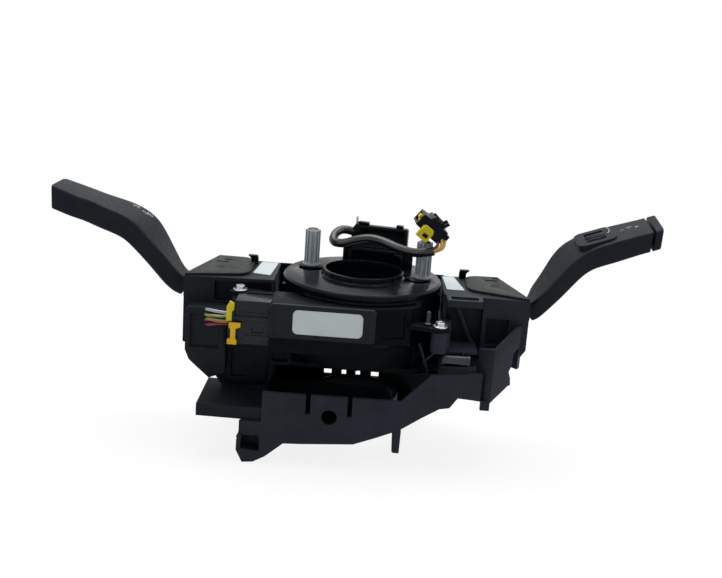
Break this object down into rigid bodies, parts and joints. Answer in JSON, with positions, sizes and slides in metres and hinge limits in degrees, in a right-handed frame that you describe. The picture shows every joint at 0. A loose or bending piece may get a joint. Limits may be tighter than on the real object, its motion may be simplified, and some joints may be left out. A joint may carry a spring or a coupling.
{
  "type": "steering column switch module with clock spring",
  "caption": "Steering column switch module: clock spring rotor with drive posts, angle sensor, front control module, and two stalks on a column bracket.",
  "frame": {"origin": "on the column axis at the lower end of the column collar", "axes": "+Z along the column towards the driver, +X to the right as the driver side of the disc faces up in the picture, -Y to the front control module"},
  "size_m": [0.3652, 0.1108, 0.1532],
  "materials": {
    "black_nylon": "satin black glass-filled nylon",
    "black_abs": "smooth semi-gloss black",
    "cover_grey": "satin grey-green moulded plate",
    "stalk_black": "fine-grained soft black",
    "post_grey": "natural light grey acetal",
    "label_white": "bare white film",
    "lock_yellow": "yellow lock plastic",
    "lock_amber": "amber lock plastic",
    "steel": "zinc plated screw",
    "board_green": "circuit board",
    "gear_white": "natural acetal gear",
    "cable_film": "polyimide flat cable",
    "sleeve_black": "matt sleeve",
    "wire_white": "wire insulation",
    "wire_green": "wire insulation",
    "wire_brown": "wire insulation",
    "wire_red": "wire insulation",
    "wire_tan": "wire insulation",
    "wire_yellow": "wire insulation"
  },
  "bodies": {
    "column_module": {"column_collar": "black_nylon", "base_bracket": "black_nylon", "tub_walls": "black_nylon", "deck_plate": "black_nylon", "cross_wall": "black_nylon", "front_apron": "black_nylon", "side_shelf": "black_nylon", "sensor_base": "black_nylon", "stator_base": "black_abs", "left_switch_housing": "black_nylon", "right_switch_housing": "black_nylon", "left_switch_cover": "cover_grey", "right_switch_cover": "cover_grey", "cover_latches": "black_abs", "blank_labels": "label_white", "sensor_housing": "black_nylon", "sensor_board": "board_green", "stator_casing": "black_abs", "ribbon_cable": "cable_film", "control_module_housing": "black_nylon", "control_module_cover": "black_nylon", "plug_header": "black_nylon", "harness_plug": "black_abs", "plug_side_lock": "lock_yellow", "plug_front_lock": "lock_amber", "harness_wire_white": "wire_white", "harness_wire_green": "wire_green", "harness_wire_brown": "wire_brown", "harness_wire_red": "wire_red", "module_screws": "steel", "locating_pin": "steel"},
    "rotor": {"rotor_disc": "black_abs", "rotor_hub": "black_abs", "sensor_ring_gear": "gear_white", "left_drive_post": "post_grey", "right_drive_post": "post_grey", "squib_block": "black_abs", "block_pin": "gear_white", "lead_sleeve": "sleeve_black", "lead_wire_tan": "wire_tan", "lead_wire_brown": "wire_brown", "lead_wire_yellow": "wire_yellow", "airbag_connector": "black_abs", "connector_insert": "lock_yellow", "connector_lock": "lock_yellow"},
    "sensor_pinion_one": {"sensor_pinion_one": "gear_white"},
    "sensor_pinion_two": {"sensor_pinion_two": "gear_white"},
    "left_carrier": {"left_yoke": "black_nylon"},
    "left_stalk_arm": {"left_stalk": "stalk_black"},
    "right_carrier": {"right_yoke": "black_nylon"},
    "right_stalk_arm": {"right_stalk": "stalk_black"},
    "interval_wheel": {"interval_wheel": "stalk_black"},
    "end_button": {"end_button": "black_abs"}
  },
  "joints": [
    {"name": "rotor_turn", "type": "hinge", "parent": "column_module", "child": "rotor", "pos_m": [0, 0, 0.086], "axis": [0, 0, 1], "range_deg": [-900, 900]},
    {"name": "sensor_pinion_one_spin", "type": "hinge", "parent": "column_module", "child": "sensor_pinion_one", "pos_m": [-0.03109, -0.02097, 0.051], "axis": [0, 0, 1], "range_deg": [-4310, 4310]},
    {"name": "sensor_pinion_two_spin", "type": "hinge", "parent": "column_module", "child": "sensor_pinion_two", "pos_m": [0.03067, -0.02069, 0.051], "axis": [0, 0, 1], "range_deg": [-4670, 4670]},
    {"name": "left_stalk_turn", "type": "hinge", "parent": "column_module", "child": "left_carrier", "pos_m": [-0.088, -0.004, 0.075], "axis": [0, 0, 1], "range_deg": [-7, 7]},
    {"name": "left_stalk_pull", "type": "hinge", "parent": "left_carrier", "child": "left_stalk_arm", "pos_m": [-0.088, -0.004, 0.075], "axis": [0, 1, 0], "range_deg": [-4, 5]},
    {"name": "right_stalk_turn", "type": "hinge", "parent": "column_module", "child": "right_carrier", "pos_m": [0.082, -0.004, 0.075], "axis": [0, 0, 1], "range_deg": [-7, 7]},
    {"name": "right_stalk_pull", "type": "hinge", "parent": "right_carrier", "child": "right_stalk_arm", "pos_m": [0.082, -0.004, 0.075], "axis": [0, -1, 0], "range_deg": [-4, 5]},
    {"name": "interval_wheel_turn", "type": "hinge", "parent": "right_stalk_arm", "child": "interval_wheel", "pos_m": [0.14092, -0.00435, 0.119], "axis": [0.9397, 0, 0.342], "range_deg": [-40, 40]},
    {"name": "end_button_press", "type": "slide", "parent": "right_stalk_arm", "child": "end_button", "axis": [-0.9397, 0, -0.342], "range_m": [0, 0.0015], "stiffness_N_per_m": 400}
  ],
  "couplings": [
    {"joint": "sensor_pinion_one_spin", "follows": "rotor_turn", "ratio": -4.7692},
    {"joint": "sensor_pinion_two_spin", "follows": "rotor_turn", "ratio": -5.1667}
  ]
}
